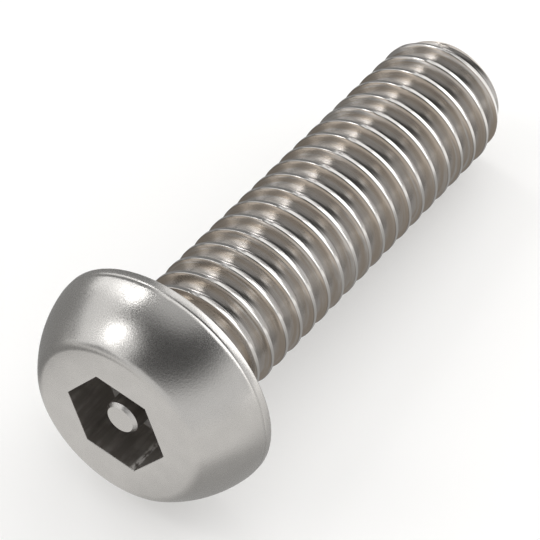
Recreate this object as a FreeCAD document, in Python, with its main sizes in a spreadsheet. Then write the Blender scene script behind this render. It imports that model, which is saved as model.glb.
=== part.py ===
# Pin-in-hex button head screw, M6 x 1, fully threaded, made as one piece of stainless steel.
# It lies on its side as it comes to rest, on the rim of its head and on the last crests of its thread.
# Units are millimetres. Modelled head up, with the bearing face at height 0, and laid down at the end.

import FreeCAD, Part
import math
import os
import Sketcher

V = FreeCAD.Vector

# Driving dimensions: name, value, what it is.
SIZES = [
    ("head_diameter", 10.5, "across the rim of the button head"),
    ("head_height", 3.25, "from the bearing face to the flat on top"),
    ("rim_height", 0.4, "straight band round the edge of the head"),
    ("rim_bevel", 0.06, "bevel of the band's lower edge"),
    ("flat_diameter", 7.7, "flat round the socket, up to where the dome starts"),
    ("dome_blend", 0.6, "soft edge between the dome and the flat"),
    ("socket_width", 4.1, "across the flats of the hexagon socket"),
    ("socket_depth", 2.35, "from the flat to the floor of the socket"),
    ("socket_angle", -4.9, "degrees from the X axis to a corner of the hexagon"),
    ("socket_lip", 0.05, "rounding of the socket's mouth"),
    ("pin_diameter", 1.51, "tamper pin that stands in the socket"),
    ("pin_recess", 0.32, "from the flat down to the top of the pin"),
    ("pin_bevel", 0.14, "bevel round the top of the pin"),
    ("pin_root", 0.3, "how far the pin's profile reaches below the floor it grows from"),
    ("shank_length", 21.0, "from the bearing face to the tip"),
    ("neck_diameter", 5.2, "plain neck under the head"),
    ("neck_fillet", 0.42, "fillet between the neck and the bearing face"),
    ("neck_length", 0.5, "from the bearing face to the end of the plain neck"),
    ("run_out", 0.35, "from the end of the neck to where the thread has its full width"),
    ("tip_chamfer", 0.5, "chamfer round the tip"),
    ("thread_diameter", 5.9, "over the crests of the thread"),
    ("thread_pitch", 1.0, "from crest to crest"),
    ("thread_angle", 60.0, "degrees between the flanks"),
    ("crest_width", 0.165, "flat left on the crests"),
    ("core_diameter", 4.71, "at the flat root of the thread"),
    ("thread_start", 0.846, "from the bearing face to the middle of the groove's last full turn"),
    ("fade_step", 0.03, "how much shallower than the full groove its fading end begins"),
    ("fade_overlap", 0.04, "how far the full groove runs on past where its fading end begins"),
    ("overrun", 0.05, "how far the groove's profile stands out past the crests"),
]


def make_sheet(doc):
    sheet = doc.addObject("Spreadsheet::Sheet", "sizes")
    for row, (name, value, note) in enumerate(SIZES, start=1):
        sheet.set("A%d" % row, name)
        sheet.set("B%d" % row, str(value))
        sheet.set("C%d" % row, note)
        sheet.setAlias("B%d" % row, name)
    doc.recompute()


def worth(thing, rule):
    # the number that a rule of the sheet's values comes to
    return float(thing.evalExpression(rule))


def new_sketch(body, name, role):
    sketch = body.newObject("Sketcher::SketchObject", name)
    plane = next(f for f in body.Origin.OriginFeatures if f.Role == role)
    sketch.AttachmentSupport = (plane, [""])
    sketch.MapMode = "FlatFace"
    return sketch


def dimension(sketch, kind, place, rule):
    index = sketch.addConstraint(Sketcher.Constraint(kind, *place, worth(sketch, rule)))
    sketch.setExpression("Constraints[%d]" % index, rule)


def locate(sketch, edge, end, rules):
    # holds one end of an edge at its distances from the two axes, or on the axis itself
    for kind, axis, rule in zip(("DistanceX", "DistanceY"), (-2, -1), rules):
        if rule == "0":
            sketch.addConstraint(Sketcher.Constraint("PointOnObject", edge, end, axis))
        else:
            dimension(sketch, kind, (-1, 1, edge, end), rule)


def clockwise_arc(start, end, radius):
    chord = end - start
    reach = math.sqrt(radius ** 2 - chord.Length ** 2 / 4)
    centre = (start + end) * 0.5 + V(chord.y, -chord.x, 0).normalize() * reach
    circle = Part.Circle(centre, V(0, 0, 1), radius)
    return Part.ArcOfCircle(circle, circle.parameter(end), circle.parameter(start))


def outline(sketch, corners):
    # a closed outline; each corner has its two rules and the rule of an arc's radius, or None for a line
    points = [V(worth(sketch, x), worth(sketch, y), 0) for x, y, radius in corners]
    for index, (x, y, radius) in enumerate(corners):
        start = points[index]
        end = points[(index + 1) % len(points)]
        edge = clockwise_arc(start, end, worth(sketch, radius)) if radius else Part.LineSegment(start, end)
        sketch.addGeometry(edge, False)
    for index, (x, y, radius) in enumerate(corners):
        # an arc runs counter-clockwise, so its first end is the later corner
        following = (index + 1) % len(corners)
        first, last = (2, 1) if radius else (1, 2)
        joined = 2 if corners[following][2] else 1
        sketch.addConstraint(Sketcher.Constraint("Coincident", index, last, following, joined))
        locate(sketch, index, first, (x, y))
        if radius:
            dimension(sketch, "Radius", (index,), radius)


def feature(body, kind, name, sketch=None):
    made = body.newObject("PartDesign::" + kind, name)
    made.Refine = False
    if sketch:
        made.Profile = sketch
    return made


def turned(body, name, corners):
    # a solid of revolution about the screw's axis, from half of its section
    sketch = new_sketch(body, name + "_outline", "XZ_Plane")
    outline(sketch, corners)
    made = feature(body, "Revolution", name, sketch)
    made.ReferenceAxis = (sketch, ["V_Axis"])
    body.Document.recompute()


def rounded(body, name, radius, wanted):
    # fillets the edges of the body that are wanted
    base = body.Tip
    edges = ["Edge%d" % i for i, edge in enumerate(base.Shape.Edges, start=1) if wanted(edge)]
    made = feature(body, "Fillet", name)
    made.Base = (base, edges)
    made.setExpression("Radius", radius)
    body.Document.recompute()


def is_ring(edge, radius, height):
    if not isinstance(edge.Curve, Part.Circle):
        return False
    return abs(edge.Curve.Radius - radius) < 1e-4 and abs(edge.Curve.Center.z - height) < 1e-4


def make_blank(body):
    # head, neck and plain shank; the dome is part of a ball centred on the axis
    crest = "sizes.thread_diameter / 2"
    centre = ("((sizes.flat_diameter / 2)^2 - (sizes.head_diameter / 2)^2"
              " + sizes.head_height^2 - sizes.rim_height^2) / 2 / (sizes.head_height - sizes.rim_height)")
    dome = "sqrt((sizes.flat_diameter / 2)^2 + (sizes.head_height - %s)^2)" % centre
    turned(body, "blank", [
        ("0", "sizes.head_height", None),
        ("sizes.flat_diameter / 2", "sizes.head_height", dome),
        ("sizes.head_diameter / 2", "sizes.rim_height", None),
        ("sizes.head_diameter / 2", "sizes.rim_bevel", None),
        ("sizes.head_diameter / 2 - sizes.rim_bevel", "0", None),
        ("sizes.neck_diameter / 2", "0", None),
        ("sizes.neck_diameter / 2", "-sizes.neck_length", None),
        (crest, "-sizes.neck_length - sizes.run_out", None),
        (crest, "sizes.tip_chamfer - sizes.shank_length", None),
        (crest + " - sizes.tip_chamfer", "-sizes.shank_length", None),
        ("0", "-sizes.shank_length", None),
    ])
    flat = worth(body, "sizes.flat_diameter / 2")
    top = worth(body, "sizes.head_height")
    neck = worth(body, "sizes.neck_diameter / 2")
    rounded(body, "soft_flat", "sizes.dome_blend", lambda edge: is_ring(edge, flat, top))
    rounded(body, "neck_root", "sizes.neck_fillet", lambda edge: is_ring(edge, neck, 0))


def make_socket(body):
    sketch = new_sketch(body, "socket_outline", "XY_Plane")
    sketch.setExpression("AttachmentOffset.Base.z", "sizes.head_height")
    corner = "sizes.socket_width / 2 / cos(30 deg) * %s((sizes.socket_angle + %d) * 1 deg)"
    outline(sketch, [(corner % ("cos", turn), corner % ("sin", turn), None) for turn in range(0, 360, 60)])
    socket = feature(body, "Pocket", "socket", sketch)
    socket.setExpression("Length", "sizes.socket_depth")
    body.Document.recompute()
    top = worth(body, "sizes.head_height")
    rounded(body, "socket_mouth", "sizes.socket_lip",
            lambda edge: isinstance(edge.Curve, Part.Line) and abs(edge.BoundBox.ZMin - top) < 1e-4)


def make_pin(body):
    side = "sizes.pin_diameter / 2"
    foot = "sizes.head_height - sizes.socket_depth - sizes.pin_root"
    top = "sizes.head_height - sizes.pin_recess"
    turned(body, "pin", [
        ("0", top, None),
        (side + " - sizes.pin_bevel", top, None),
        (side, top + " - sizes.pin_bevel", None),
        (side, foot, None),
        ("0", foot, None),
    ])


def groove(body, name, height, shift, length, lean):
    # the space between two crests, swept up the screw's axis from a height; shift lifts it outward
    half = "(sizes.thread_angle / 2 * 1 deg)"
    mouth = "((sizes.thread_pitch - sizes.crest_width) / 2 + sizes.overrun * tan%s)" % half
    root = ("((sizes.thread_pitch - sizes.crest_width"
            " - (sizes.thread_diameter - sizes.core_diameter) * tan%s) / 2)" % half)
    outer = "sizes.thread_diameter / 2 + sizes.overrun + " + shift
    inner = "sizes.core_diameter / 2 + " + shift
    sketch = new_sketch(body, name + "_outline", "XZ_Plane")
    outline(sketch, [
        (outer, height + " - " + mouth, None),
        (inner, height + " - " + root, None),
        (inner, height + " + " + root, None),
        (outer, height + " + " + mouth, None),
    ])
    made = feature(body, "SubtractiveHelix", name, sketch)
    made.ReferenceAxis = (sketch, ["V_Axis"])
    made.Mode = 0
    made.LeftHanded = False
    made.Reversed = False
    made.setExpression("Pitch", "sizes.thread_pitch")
    made.setExpression("Height", length)
    made.setExpression("Angle", lean)
    body.Document.recompute()


def cut_thread(body):
    # a right-hand thread from beyond the tip, whose groove fades out under the head over half a turn
    turns = "(ceil((sizes.shank_length - sizes.thread_start) / sizes.thread_pitch) + 1)"
    groove(body, "thread", "-sizes.thread_start - sizes.thread_pitch * " + turns, "0",
           "sizes.thread_pitch * %s + sizes.fade_overlap" % turns, "0")
    groove(body, "thread_fade", "-sizes.thread_start", "sizes.fade_step", "sizes.thread_pitch / 2",
           "atan((sizes.thread_diameter - sizes.core_diameter) / sizes.thread_pitch)")


def lay_down(body):
    # tip toward +Y and down, until the rim of the head and the end of the thread both touch the ground
    lean = ("atan((sizes.head_diameter - sizes.thread_diameter) / 2"
            " / (sizes.shank_length - sizes.tip_chamfer + sizes.rim_bevel))")
    along = "cos(%s)" % lean
    down = "sin(%s)" % lean
    body.Placement = FreeCAD.Placement(V(0, 0, 0), FreeCAD.Rotation(V(1, 0, 0), 90))
    body.setExpression("Placement.Rotation.Angle", "90 deg - " + lean)
    body.setExpression("Placement.Base.y", "((sizes.head_height - sizes.shank_length) * %s"
                       " + (sizes.flat_diameter - sizes.thread_diameter + 2 * sizes.tip_chamfer) / 2 * %s) / 2"
                       % (along, down))
    body.setExpression("Placement.Base.z", "sizes.head_diameter / 2 * %s - sizes.rim_bevel * %s" % (along, down))
    body.Document.recompute()


def check(doc):
    for item in doc.Objects:
        wrong = {"Invalid", "Error"} & set(item.State)
        if wrong:
            raise ValueError("%s is %s" % (item.Name, wrong))
        if item.isDerivedFrom("PartDesign::Feature") and not item.Shape.isValid():
            raise ValueError("%s has no sound shape" % item.Name)


doc = FreeCAD.newDocument("button_head_screw")
make_sheet(doc)
screw = doc.addObject("PartDesign::Body", "screw")
screw.Label = "button_head_screw"
make_blank(screw)
make_socket(screw)
make_pin(screw)
cut_thread(screw)
lay_down(screw)
check(doc)
os.makedirs("parts", exist_ok=True)
screw.Shape.exportStep("parts/%s.step" % screw.Label)
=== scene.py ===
import math
import bmesh
import bpy
import numpy as np
from mathutils import Matrix, Vector


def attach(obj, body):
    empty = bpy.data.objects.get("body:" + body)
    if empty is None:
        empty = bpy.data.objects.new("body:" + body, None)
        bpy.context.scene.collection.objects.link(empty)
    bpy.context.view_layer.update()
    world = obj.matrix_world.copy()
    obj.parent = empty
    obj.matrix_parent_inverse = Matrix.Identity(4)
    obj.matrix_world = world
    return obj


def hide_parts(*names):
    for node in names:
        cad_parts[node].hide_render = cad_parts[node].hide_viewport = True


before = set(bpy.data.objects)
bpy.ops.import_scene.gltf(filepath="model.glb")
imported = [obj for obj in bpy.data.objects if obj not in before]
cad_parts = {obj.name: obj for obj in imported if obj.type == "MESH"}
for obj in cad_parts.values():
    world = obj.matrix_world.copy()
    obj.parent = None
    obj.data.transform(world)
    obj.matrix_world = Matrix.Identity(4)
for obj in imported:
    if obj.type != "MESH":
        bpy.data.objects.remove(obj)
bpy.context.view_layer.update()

# Pin-in-hex button head screw, M6 x 1, lying on a pale floor as it comes to rest.
# Lengths are millimetres in the values and metres in the meshes.
mm = 0.001
print("frame loaded")


# The unit vector of a direction in degrees, from +Y towards +X and then above the floor.
def towards(azimuth, elevation):
    a, e = math.radians(azimuth), math.radians(elevation)
    return Vector((math.sin(a) * math.cos(e), math.cos(a) * math.cos(e), math.sin(e)))


# A node's socket, with arithmetic that adds the nodes for it.
class Wire:
    def __init__(self, tree, socket=None):
        self.tree = tree
        self.socket = socket

    # A node of any kind: its type, its settings, then its inputs as values or wires.
    def node(self, kind, settings=None, inputs=None):
        made = self.tree.nodes.new(kind)
        for name, value in (settings or {}).items():
            setattr(made, name, value)
        for name, value in (inputs or {}).items():
            if isinstance(value, Wire):
                self.tree.links.new(value.socket, made.inputs[name])
            else:
                made.inputs[name].default_value = value
        return made

    def out(self, kind, name=0, settings=None, inputs=None):
        return Wire(self.tree, self.node(kind, settings, inputs).outputs[name])

    def math(self, operation, *values):
        return self.out("ShaderNodeMath", 0, {"operation": operation}, dict(enumerate(values)))

    def __add__(self, other):
        return self.math("ADD", self, other)

    def __radd__(self, other):
        return self.math("ADD", other, self)

    def __sub__(self, other):
        return self.math("SUBTRACT", self, other)

    def __rsub__(self, other):
        return self.math("SUBTRACT", other, self)

    def __mul__(self, other):
        return self.math("MULTIPLY", self, other)

    def __rmul__(self, other):
        return self.math("MULTIPLY", other, self)

    def __truediv__(self, other):
        return self.math("DIVIDE", self, other)

    def smooth(self, low, high):
        return self.out("ShaderNodeMapRange", 0, {"interpolation_type": "SMOOTHSTEP"},
                        {"Value": self, "From Min": low, "From Max": high})

    # A vector stretched along each of its axes.
    def stretch(self, x, y, z):
        return self.out("ShaderNodeVectorMath", 0, {"operation": "MULTIPLY"}, {0: self, 1: (x, y, z)})

    # How far a vector goes in a direction of the studio.
    def towards(self, azimuth, elevation):
        return self.out("ShaderNodeVectorMath", "Value", {"operation": "DOT_PRODUCT"},
                        {0: self, 1: towards(azimuth, elevation)})

    def noise(self, scale, detail=3.0, roughness=0.6):
        return self.out("ShaderNodeTexNoise", "Fac", None,
                        {"Vector": self, "Scale": scale, "Detail": detail, "Roughness": roughness})

    # Between two colours, by this wire's value.
    def blend(self, low, high):
        made = self.node("ShaderNodeMix", {"data_type": "RGBA"}, {0: self})
        for place, value in ((6, low), (7, high)):
            if isinstance(value, Wire):
                self.tree.links.new(value.socket, made.inputs[place])
            else:
                made.inputs[place].default_value = (*value, 1.0)
        return Wire(self.tree, made.outputs[2])


def newMaterial(name):
    material = bpy.data.materials.new(name)
    material.use_nodes = True
    material.node_tree.nodes.clear()
    return material, Wire(material.node_tree)


def finishMaterial(start, shader, uniform):
    for name, value in uniform.items():
        shader.inputs[name].default_value = value
    output = start.node("ShaderNodeOutputMaterial")
    start.tree.links.new(shader.outputs[0], output.inputs["Surface"])


# Screw values: the head, socket and pin, then the shank and its thread.
screw = {
    "headDiameter": 10.5,
    "headHeight": 3.25,
    "rimHeight": 0.4,
    "rimRound": 0.08,
    "flatDiameter": 7.7,
    "domeBlend": 0.6,
    "socketWidth": 4.1,
    "socketDepth": 2.35,
    "socketAngle": -4.9,
    "socketLip": 0.05,
    "chipRise": 0.2,
    "chipReach": 0.55,
    "pinDiameter": 1.51,
    "pinRecess": 0.32,
    "pinBevel": 0.14,
    "shankLength": 21.0,
    "neckDiameter": 5.2,
    "neckFillet": 0.42,
    "neckLength": 0.5,
    "runOut": 0.35,
    "tipChamfer": 0.5,
    "tipEase": 1.0,
    "threadDiameter": 5.9,
    "threadPitch": 1.0,
    "threadAngle": 60.0,
    "crestWidth": 0.165,
    "crestBevel": 0.03,
    "crestDent": 0.004,
    "dentReach": 0.05,
    "rootRadius": 0.144,
    "firstCrest": 0.346,
    "seamAngle": 92.0,
    "seamWidth": 5.0,
    "seamDepth": 0.03,
    "seamReach": 0.15,
    "seamLimit": 0.12,
    "seamWaves": (7.3, 2.9, 40.0),
    "columns": 144,
    "tilt": 6.383,
    "bearingCentre": (0.0, -8.74216, 5.21078),
}

# Rings on the pin's end, then shares of its bevel.
pinRings = (0.12, 0.28, 0.44, 0.57)
bevelShares = (0.0, 0.35, 0.7, 1.0)

# Half of one pitch of the thread, as distances from the middle of a crest.
crestSteps = (0.0, 0.035, 0.0665, 0.0675, 0.0965, 0.0975, 0.16, 0.24, 0.32, 0.375, 0.42, 0.46, 0.5)


def arc(centre, radius, start, stop, count):
    angles = np.radians(np.linspace(start, stop, count))
    return [(centre[0] + radius * math.cos(a), centre[1] + radius * math.sin(a)) for a in angles]


# The head's rows from the middle of the pin to the neck, each a radius and a height for every column.
def headRows(v, angles):
    top = v["headHeight"]
    pin = v["pinDiameter"] / 2
    pinTop = top - v["pinRecess"]
    floor = top - v["socketDepth"]
    bevel = v["pinBevel"]
    fromCorner = (np.degrees(angles) - v["socketAngle"]) % 60 - 30
    hexagon = v["socketWidth"] / 2 / np.cos(np.radians(fromCorner))
    rows = []
    for radius in pinRings:
        rows.append((radius, pinTop))
    for share in bevelShares:
        rows.append((pin - bevel + bevel * share, pinTop - bevel * share))
    for height in np.linspace(pinTop - bevel, floor + 0.06, 6)[1:]:
        rows.append((pin, height))
    rows.append((pin + 0.02, floor + 0.018))
    rows = [(np.full(len(angles), radius), np.full(len(angles), height)) for radius, height in rows]
    # the floor rises towards the walls, where the broach has pushed its chips
    for share in (0.06, 0.25, 0.4, 0.55, 0.7, 1.0):
        rise = v["chipRise"] * min(1.0, share / v["chipReach"])
        rows.append((pin + (hexagon - pin) * share, np.full(len(angles), floor + rise)))
    for height in np.linspace(floor + v["chipRise"] + 0.04, top - v["socketLip"] * 1.6, 8):
        rows.append((hexagon, np.full(len(angles), height)))
    for turn in (0, 30, 60, 90):
        out = v["socketLip"] * (1 - math.cos(math.radians(turn)))
        down = v["socketLip"] * (1 - math.sin(math.radians(turn)))
        rows.append((hexagon + out, np.full(len(angles), top - down)))
    rim = v["headDiameter"] / 2
    flat = v["flatDiameter"] / 2
    band = v["rimHeight"]
    centre = (flat ** 2 - rim ** 2 + top ** 2 - band ** 2) / 2 / (top - band)
    dome = math.hypot(flat, top - centre)
    soft = v["domeBlend"]
    blendOut = math.sqrt((dome - soft) ** 2 - (top - soft - centre) ** 2)
    blendAngle = math.degrees(math.atan2(top - soft - centre, blendOut))
    mouth = hexagon + v["socketLip"]
    for share in (0.15, 0.4, 0.7):
        rows.append((mouth + (blendOut - mouth) * share, np.full(len(angles), top)))
    path = arc((blendOut, top - soft), soft, 90, blendAngle, 9)
    rimRound = v["rimRound"]
    path += arc((0, centre), dome, blendAngle, math.degrees(math.atan2(band - centre, rim)) + 0.6, 24)[1:]
    path += arc((rim - rimRound, band - rimRound * 0.8), rimRound, 50, 0, 4)
    path += arc((rim - rimRound, rimRound), rimRound, 0, -90, 5)
    neck = v["neckDiameter"] / 2
    fillet = v["neckFillet"]
    path += [(radius, 0.0) for radius in np.linspace(rim - rimRound, neck + fillet, 6)[1:]]
    path += arc((neck + fillet, -fillet), fillet, 90, 180, 7)[1:]
    for radius, height in path:
        rows.append((np.full(len(angles), radius), np.full(len(angles), height)))
    return rows


# How far the thread's surface lies below its crests, at a distance from the middle of a crest.
def grooveDepth(v, offset):
    flankAngle = math.radians(v["threadAngle"] / 2)
    slope = math.tan(flankAngle)
    half = v["crestWidth"] / 2
    root = v["rootRadius"]
    offset = abs(offset)
    deepest = (v["threadPitch"] / 2 - half) / slope - root
    fromRoot = v["threadPitch"] / 2 - offset
    if fromRoot < root * math.cos(flankAngle):
        return deepest - root + math.sqrt(root ** 2 - fromRoot ** 2)
    bevel = v["crestBevel"] / 2
    if offset > half + bevel:
        return (offset - half) / slope
    if offset > half - bevel:
        return bevel / slope * (offset - half + bevel) / (2 * bevel)
    return v["crestDent"] * max(0.0, 1 - offset / v["dentReach"])


def buildScrew(v):
    count = v["columns"]
    pitch = v["threadPitch"]
    start = math.radians(v["socketAngle"])
    angles = start + np.arange(count) * 2 * math.pi / count
    points, faces, slots = [], [], []

    def addRow(radii, heights):
        first = len(points)
        for angle, radius, height in zip(angles, radii, heights):
            points.append((radius * math.cos(angle), radius * math.sin(angle), height))
        return list(range(first, first + count))

    def joinRows(upper, lower, slot):
        for a in range(count):
            b = (a + 1) % count
            faces.append((upper[a], lower[a], lower[b], upper[b]))
            slots.append(slot)

    rows = headRows(v, angles)
    points.append((0, 0, v["headHeight"] - v["pinRecess"]))
    last = addRow(*rows[0])
    for a in range(count):
        faces.append((0, last[a], last[(a + 1) % count]))
        slots.append(0)
    # below the pin's bevel and up to the mouth, the rows are the socket's
    firstInside = len(pinRings) + len(bevelShares)
    widest = v["flatDiameter"] / 2 - 0.2
    highest = v["headHeight"] - 0.02
    for number, (radii, heights) in enumerate(rows[1:], start=1):
        ring = addRow(radii, heights)
        inside = number >= firstInside and radii.max() < widest and heights[0] < highest
        joinRows(last, ring, 1 if inside else 0)
        last = ring

    # thread rows follow the helix, and stop on the end of the neck and on the tip
    steps = [-s for s in reversed(crestSteps[1:-1])] + list(crestSteps)
    perTurn = len(steps)
    turns = int(v["shankLength"] / pitch) + 3
    neckEnd, tipEnd = v["neckLength"], v["shankLength"]
    outer, neck = v["threadDiameter"] / 2, v["neckDiameter"] / 2
    sweep = np.arange(count) / count
    turnOfZero = -v["socketAngle"] / 360.0
    weld = 0.004  # a row this close to an end joins it

    def along(row, column):
        turn = row // perTurn - 1 + turnOfZero - sweep[column]
        return v["firstCrest"] + pitch * turn + steps[row % perTurn]

    def radiusAt(row, distance):
        depth = grooveDepth(v, steps[row % perTurn])
        rise = min(1.0, max(0.0, (distance - neckEnd) / v["runOut"]))
        share = max(0.0, 1 - (tipEnd - distance) / v["tipEase"])
        taper = v["tipChamfer"] * share ** 1.2
        return min(outer - depth, neck + (outer - neck) * rise, outer - taper)

    # the lap that rolling leaves across each crest, as a depth
    def lapDepth(row, column):
        step = steps[row % perTurn]
        byTurn, byColumn, byStep = v["seamWaves"]
        away = (math.degrees(angles[column]) - v["seamAngle"] + 180) % 360 - 180
        fromSeam = abs(away) / v["seamWidth"]
        if abs(step) >= v["seamReach"] or fromSeam >= 1:
            return 0.0
        wave = math.sin(byTurn * (row // perTurn) + byColumn * column + byStep * step)
        return v["seamDepth"] * (1 - fromSeam) * (0.5 + 0.5 * wave)

    made = {}
    neckEdge = addRow(np.full(count, neck), np.full(count, -neckEnd))
    joinRows(last, neckEdge, 0)
    tipRadii = []
    for column in range(count):
        offset = (tipEnd - v["firstCrest"] - pitch * turnOfZero + pitch * sweep[column]) % pitch
        offset = min(offset, pitch - offset)
        tipRadii.append(min(outer - grooveDepth(v, offset), outer - v["tipChamfer"]))
    tipEdge = addRow(tipRadii, np.full(count, -tipEnd))

    def vertex(row, column):
        if column == count:
            return vertex(row - perTurn, 0)
        distance = along(row, column)
        if distance <= neckEnd + weld:
            return neckEdge[column]
        if distance >= tipEnd - weld:
            return tipEdge[column]
        if (row, column) not in made:
            radius = radiusAt(row, distance)
            angle = angles[column]
            if outer - radius < v["seamLimit"]:
                radius -= lapDepth(row, column)
            made[row, column] = len(points)
            points.append((radius * math.cos(angle), radius * math.sin(angle), -distance))
        return made[row, column]

    for row in range(perTurn * turns):
        for column in range(count):
            corners = (vertex(row, column), vertex(row + 1, column),
                       vertex(row + 1, column + 1), vertex(row, column + 1))
            loop = [c for number, c in enumerate(corners) if c != corners[number - 1]]
            if len(loop) > 2:
                faces.append(tuple(loop))
                slots.append(2)

    # the end face, a little hollow in the middle
    hollow = 0.02
    last = tipEdge
    for share in (0.93, 0.6, 0.25):
        ring = addRow(np.array(tipRadii) * share, np.full(count, -tipEnd + hollow * (1 - share)))
        joinRows(last, ring, 2)
        last = ring
    points.append((0, 0, -tipEnd + hollow))
    for a in range(count):
        faces.append((last[a], len(points) - 1, last[(a + 1) % count]))
        slots.append(2)

    mesh = bpy.data.meshes.new("screw_body")
    mesh.from_pydata([tuple(c * mm for c in p) for p in points], [], faces)
    mesh.polygons.foreach_set("material_index", slots)
    work = bmesh.new()
    work.from_mesh(mesh)
    bmesh.ops.recalc_face_normals(work, faces=work.faces)
    work.to_mesh(mesh)
    work.free()
    mesh.shade_smooth()
    mesh.set_sharp_from_angle(angle=math.radians(40))
    turn = Matrix.Rotation(math.radians(90 - v["tilt"]), 4, "X")
    mesh.transform(Matrix.Translation(Vector(v["bearingCentre"]) * mm) @ turn)
    piece = bpy.data.objects.new("screw_body", mesh)
    bpy.context.scene.collection.objects.link(piece)
    return piece


# Where a point of the surface is on the upright screw, in millimetres from the middle of the bearing face.
def uprightPlace(start):
    place = start.out("ShaderNodeTexCoord", "Object")
    moved = start.out("ShaderNodeVectorMath", 0, {"operation": "SUBTRACT"},
                      {0: place, 1: tuple(c * mm for c in screw["bearingCentre"])})
    turned = start.out("ShaderNodeVectorRotate", 0, {"rotation_type": "X_AXIS"},
                       {"Vector": moved, "Angle": -math.radians(90 - screw["tilt"])})
    return turned.stretch(1000, 1000, 1000)


# Steel values, for the head, the socket and the thread. The drawn lines' scales are round the shank,
# from turn to turn and across a flank.
steel = {
    "headColour": (0.55, 0.535, 0.515),
    "headRoughness": 0.27,
    "grain": 11.0,
    "grainHeight": 0.0038,
    "socketColour": (0.36, 0.335, 0.31),
    "socketStreak": (0.22, 0.2, 0.182),
    "socketFloor": (0.38, 0.365, 0.35),
    # a painted highlight colour, for the edge of the socket's floor and one corner
    "socketHighlight": (0.62, 0.60, 0.57),
    "streakScale": 2.6,
    "streakStretch": 0.15,
    "streakHeight": 0.015,
    "patchScale": 1.6,
    "socketMetal": 0.8,
    "socketRoughness": 0.40,
    "threadColour": (0.56, 0.545, 0.525),
    # the flanks' tan and plum: partly stain, partly painted shade
    "threadTanStainShade": (0.43, 0.37, 0.31),
    "threadPlumStainShade": (0.38, 0.355, 0.34),
    "threadEdgeShade": (0.14, 0.13, 0.12),
    # painted shade along the crests' edges
    "threadRoughness": 0.15,
    "drawnScales": (0.22, 0.45, 7.0),
    "threadGrain": 0.004,
}


def headSteel(v):
    material, start = newMaterial("satin_steel")
    place = uprightPlace(start)
    grain = place.noise(v["grain"], 2.0, 0.6)
    cloud = place.noise(0.9, 3.0)
    colour = cloud.smooth(0.35, 0.7).blend([c * 0.95 for c in v["headColour"]], v["headColour"])
    bump = start.out("ShaderNodeBump", 0, None,
                     {"Height": grain, "Strength": 1.0, "Distance": v["grainHeight"] * mm})
    shader = start.node("ShaderNodeBsdfPrincipled", None, {
        "Base Color": colour, "Roughness": v["headRoughness"] + 0.1 * (grain - 0.5), "Normal": bump})
    finishMaterial(start, shader, {"Metallic": 1.0})
    return material


def socketSteel(v):
    material, start = newMaterial("socket_steel")
    place = uprightPlace(start)
    parts = start.node("ShaderNodeSeparateXYZ", None, {0: place})
    x, y, z = (Wire(start.tree, parts.outputs[n]) for n in range(3))
    streak = place.stretch(1.0, 1.0, v["streakStretch"]).noise(v["streakScale"], 4.0, 0.65)
    patch = place.noise(v["patchScale"], 4.0, 0.65)
    mixed = streak.smooth(0.38, 0.7) * (0.3 + 0.7 * patch.smooth(0.35, 0.62))
    walls = mixed.blend(v["socketStreak"], v["socketColour"])
    floor = screw["headHeight"] - screw["socketDepth"] + screw["chipRise"]
    bottom = z.smooth(floor + 0.02, floor - 0.02)
    # a painted highlight along the edge where the floor meets the walls
    floorEdgeHighlight = (z - floor).math("ABSOLUTE", z - floor).smooth(0.05, 0.02)
    # a painted highlight runs down one corner of the socket, broken up by noise
    corner = math.radians(screw["socketAngle"] - 60)
    away = x * -math.sin(corner) + y * math.cos(corner)
    outward = x * math.cos(corner) + y * math.sin(corner)
    cornerHighlight = away.math("ABSOLUTE", away + 0.09).smooth(0.16, 0.03) * outward.smooth(1.6, 2.1)
    cornerHighlight = cornerHighlight * place.stretch(1.0, 1.0, 0.4).noise(7.0, 4.0, 0.7).smooth(0.42, 0.56)
    light = floorEdgeHighlight.math("MAXIMUM", cornerHighlight, floorEdgeHighlight * 0.6)
    colour = bottom.blend(walls, v["socketFloor"])
    # the painted highlights take a light colour
    colour = light.blend(colour, v["socketHighlight"])
    bright = bottom.math("MAXIMUM", bottom, light)
    bump = start.out("ShaderNodeBump", 0, None,
                     {"Height": streak, "Strength": 1.0, "Distance": v["streakHeight"] * mm})
    shader = start.node("ShaderNodeBsdfPrincipled", None, {
        "Base Color": colour, "Metallic": v["socketMetal"] * (1.0 - 0.75 * bright),
        "Roughness": v["socketRoughness"] + 0.15 * patch, "Normal": bump})
    finishMaterial(start, shader, {})
    return material


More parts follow.
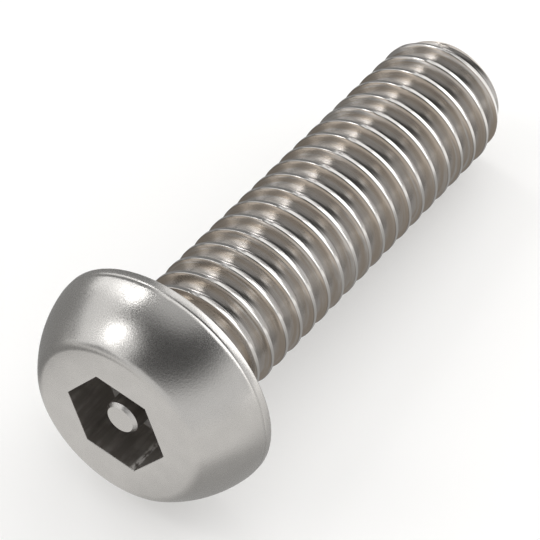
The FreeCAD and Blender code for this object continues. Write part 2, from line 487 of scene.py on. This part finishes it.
def threadSteel(v):
    material, start = newMaterial("rolled_thread")
    place = uprightPlace(start)
    parts = start.node("ShaderNodeSeparateXYZ", None, {0: place})
    x, y, z = (Wire(start.tree, parts.outputs[n]) for n in range(3))
    turn = y.math("ARCTAN2", y, x) / (2 * math.pi)
    across = (turn - z - screw["firstCrest"]).math("FRACT", turn - z - screw["firstCrest"])
    # fine lines drawn along the helix: slow round the shank, quick across a flank
    aroundScale, turnScale, acrossScale = v["drawnScales"]
    lines = start.out("ShaderNodeCombineXYZ", 0, None, {
        0: x * aroundScale, 1: y * aroundScale, 2: across * acrossScale})
    streak = start.out("ShaderNodeTexNoise", "Fac", {"noise_dimensions": "4D"},
                       {"Vector": lines, "W": z * turnScale, "Scale": 1.0, "Detail": 4.0, "Roughness": 0.62})
    cloud = place.noise(0.8, 3.0)
    # the drawn lines and the tan and plum bands, partly stain and partly painted shade, end at the tip's
    # plain face
    shank = z.smooth(0.03 - screw["shankLength"], 0.1 - screw["shankLength"])
    flank = across.smooth(0.5, 0.56) * across.smooth(0.93, 0.9) * shank
    # the flank is painted tan towards the crest and plum towards the root: partly a brown stain, partly
    # painted shade of the flank
    tan = across.smooth(0.62, 0.8) * streak.smooth(0.3, 0.55)
    plumStainShade = across.smooth(0.8, 0.55) * streak.smooth(0.66, 0.42)
    colour = (flank * tan).blend(v["threadColour"], v["threadTanStainShade"])
    colour = (flank * plumStainShade * cloud.smooth(0.2, 0.5)).blend(colour, v["threadPlumStainShade"])
    # thin dark lines along both edges of a crest: painted shade where the edges mirror the dark
    toCrest = (across - 0.5).math("ABSOLUTE", across - 0.5)
    crestEdgeShade = toCrest.smooth(0.39, 0.403) * toCrest.smooth(0.423, 0.412) * streak.smooth(0.3, 0.5)
    colour = (crestEdgeShade * shank * 0.5).blend(colour, v["threadEdgeShade"])
    grain = place.noise(9.0, 3.0, 0.6)
    relief = streak * shank + 0.35 * grain
    bump = start.out("ShaderNodeBump", 0, None,
                     {"Height": relief, "Strength": 1.0, "Distance": v["threadGrain"] * mm})
    shader = start.node("ShaderNodeBsdfPrincipled", None, {
        "Base Color": colour, "Roughness": v["threadRoughness"] + 0.12 * streak * flank, "Normal": bump})
    finishMaterial(start, shader, {"Metallic": 1.0})
    return material


body = buildScrew(screw)
for material in (headSteel(steel), socketSteel(steel), threadSteel(steel)):
    body.data.materials.append(material)
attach(body, "root")
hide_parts("button_head_screw")
print("screw built", len(body.data.polygons), "faces")


# Studio values: the floor, the sky, and the lamps. The pairs of the floor are millimetres, where a change
# starts and where it is full. A lamp's numbers are degrees from +Y towards +X, from and to, degrees above
# the floor, from and to, and its strength.
studio = {
    "floorSize": 3000.0,
    "floorColour": (0.95, 0.945, 0.935),
    "floorGlow": 0.35,
    "mirrorGlow": 0.85,
    # the floor as the metal mirrors it: an even glow, painted shade on the left, a painted shadow near the
    # screw, a painted brighter band at the back
    "mirrorLight": 0.92,
    "mirrorShade": 0.18,
    "mirrorShadow": 0.38,
    "mirrorBackLight": 1.5,
    "darkSide": (-6.2, -9.5),
    "darkFront": (-50.0, -30.0),
    "nearSide": (20.0, 3.0),
    "nearFront": (-15.0, -7.0),
    "nearBack": (16.0, 11.0),
    "headShadowSpot": (6.5, -10.5, 0.0),
    "headShadowReach": (9.5, 3.0),
    "backLightFrom": (12.0, 18.0),
    "horizon": 0.88,
    "gap": 0.3,
    "ceiling": 0.08,
    "canopy": 0.65,
    "bright": (128, 0),
    "brightSpan": (-0.05, 0.4),
    "ceilingSpan": (0.42, 0.8),
    "canopyTowards": (-12, 60),
    "canopySpan": (0.80, 0.97),
    "distance": 420.0,
    "lamps": {
        "lamp_back": (8, 50, 0, 49, 2.3),
        "lamp_haze": (-32, 8, 0, 54, 0.9),
        "lamp_strip": (-78, -66, 2, 28, 1.4),
        "lamp_spark": (-79, -65, 28, 44, 2.6),
        "lamp_spark_high": (-82, -62, 45, 53, 6.5),
        "lamp_left": (-112, -79, 10, 48, 0.75),
        "lamp_arch": (-158, -112, 24, 64, 0.9),
        "lamp_arch_low": (-134, -112, 4, 24, 0.8),
        "lamp_key": (-130, -113, 37, 56, 3.6),
    },
    "roundLamps": ("lamp_key",),
    "topSize": 460.0,
    "topStrength": 1.15,
}


def buildFloor(v):
    cells = 24
    work = bmesh.new()
    bmesh.ops.create_grid(work, x_segments=cells, y_segments=cells, size=v["floorSize"] / 2 * mm)
    mesh = bpy.data.meshes.new("paper_floor")
    work.to_mesh(mesh)
    work.free()
    floor = bpy.data.objects.new("paper_floor", mesh)
    bpy.context.scene.collection.objects.link(floor)
    material, start = newMaterial("white_paper")
    seen = start.node("ShaderNodeLightPath")
    camera, glossy, through = (Wire(start.tree, seen.outputs[name]) for name in
                               ("Is Camera Ray", "Is Glossy Ray", "Is Transmission Ray"))
    share = (v["floorGlow"] * camera.math("MAXIMUM", camera, through)) + v["mirrorGlow"] * glossy
    place = start.out("ShaderNodeTexCoord", "Object")
    flat = place.stretch(1000, 1000, 1000)
    parts = start.node("ShaderNodeSeparateXYZ", None, {0: flat})
    x, y = (Wire(start.tree, parts.outputs[n]) for n in range(2))
    # painted shade in the floor that only the metal mirrors: dark on the left, and a painted shadow close to
    # the shank and the head
    dark = x.smooth(*v["darkSide"]) * y.smooth(*v["darkFront"])
    nearShadow = x.math("ABSOLUTE", x).smooth(*v["nearSide"]) * y.smooth(*v["nearFront"]) * y.smooth(*v["nearBack"])
    toHead = start.out("ShaderNodeVectorMath", "Value", {"operation": "DISTANCE"},
                       {0: flat, 1: v["headShadowSpot"]})
    nearShadow = nearShadow.math("MAXIMUM", nearShadow, toHead.smooth(*v["headShadowReach"]))
    light = v["mirrorLight"] - (v["mirrorLight"] - v["mirrorShadow"]) * nearShadow
    # a painted brighter band at the back, which only the metal mirrors
    light = light + (v["mirrorBackLight"] - light) * y.smooth(*v["backLightFrom"])
    light = light + (v["mirrorShade"] - light) * dark
    light = 1.0 + (light - 1.0) * glossy
    tint = start.out("ShaderNodeCombineColor", 0, None, {0: light, 1: light * 0.99, 2: light * 0.975})
    fibre = place.noise(2500.0, 4.0)
    bump = start.out("ShaderNodeBump", 0, None, {"Height": fibre, "Strength": 0.3, "Distance": 0.02 * mm})
    matt = start.out("ShaderNodeBsdfDiffuse", 0, None, {"Color": (*v["floorColour"], 1), "Normal": bump})
    glow = start.out("ShaderNodeEmission", 0, None, {"Color": tint})
    mixed = start.node("ShaderNodeMixShader", None, {0: share, 1: matt, 2: glow})
    finishMaterial(start, mixed, {})
    mesh.materials.append(material)


def buildSky(v):
    world = bpy.data.worlds.new("studio_sky")
    bpy.context.scene.world = world
    world.use_nodes = True
    world.node_tree.nodes.clear()
    start = Wire(world.node_tree)
    direction = start.out("ShaderNodeTexCoord", "Generated")
    height = Wire(start.tree, start.node("ShaderNodeSeparateXYZ", None, {0: direction}).outputs["Z"])
    low = v["gap"] + (v["horizon"] - v["gap"]) * direction.towards(*v["bright"]).smooth(*v["brightSpan"])
    glow = low + (v["ceiling"] - low) * height.smooth(*v["ceilingSpan"])
    glow = glow + (v["canopy"] - glow) * direction.towards(*v["canopyTowards"]).smooth(*v["canopySpan"])
    colour = start.out("ShaderNodeCombineColor", 0, None, {0: glow, 1: glow, 2: glow})
    background = start.node("ShaderNodeBackground", None, {"Color": colour})
    output = start.node("ShaderNodeOutputWorld")
    start.tree.links.new(background.outputs[0], output.inputs["Surface"])


# A flat lamp of a width and a height in metres, facing along its own -Z.
def addLamp(name, shape, width, height, strength):
    light = bpy.data.lights.new(name, "AREA")
    light.shape = shape
    light.size = width
    light.size_y = height
    light.energy = strength * math.pi * width * height
    lamp = bpy.data.objects.new(name, light)
    bpy.context.scene.collection.objects.link(lamp)
    return lamp


def buildLamps(v):
    reach = v["distance"] * mm
    for name, (first, last, low, high, strength) in v["lamps"].items():
        bottom, top = (reach * math.tan(math.radians(e)) for e in (low, high))
        width = 2 * reach * math.tan(math.radians(last - first) / 2)
        shape = "ELLIPSE" if name in v["roundLamps"] else "RECTANGLE"
        lamp = addLamp(name, shape, width, top - bottom, strength)
        direction = towards((first + last) / 2, 0)
        lamp.location = direction * reach + Vector((0, 0, (bottom + top) / 2))
        lamp.rotation_euler = direction.to_track_quat("Z", "Y").to_euler()
    # a soft lamp over the floor, which the metal doesn't mirror
    size = v["topSize"] * mm
    lamp = addLamp("lamp_top", "RECTANGLE", size, size, v["topStrength"])
    lamp.location = (0, 0, reach)
    lamp.visible_glossy = False


# Camera values: where it stands and the point that it looks at.
view = {
    "location": (44.97, -64.475, 106.806),
    "target": (1.454, -3.543, 7.681),
    "lens": 207.6,
}


def buildCamera(v):
    camera = bpy.data.cameras.new("camera")
    camera.lens = v["lens"]
    camera.sensor_width = 36.0
    camera.clip_start = 0.01
    camera.clip_end = 20.0
    item = bpy.data.objects.new("camera", camera)
    bpy.context.scene.collection.objects.link(item)
    item.location = Vector(v["location"]) * mm
    item.rotation_euler = (Vector(v["target"]) - Vector(v["location"])).to_track_quat("-Z", "Y").to_euler()
    bpy.context.scene.camera = item


buildFloor(studio)
buildSky(studio)
buildLamps(studio)
buildCamera(view)
bpy.context.scene.view_settings.view_transform = "Standard"
print("studio built")
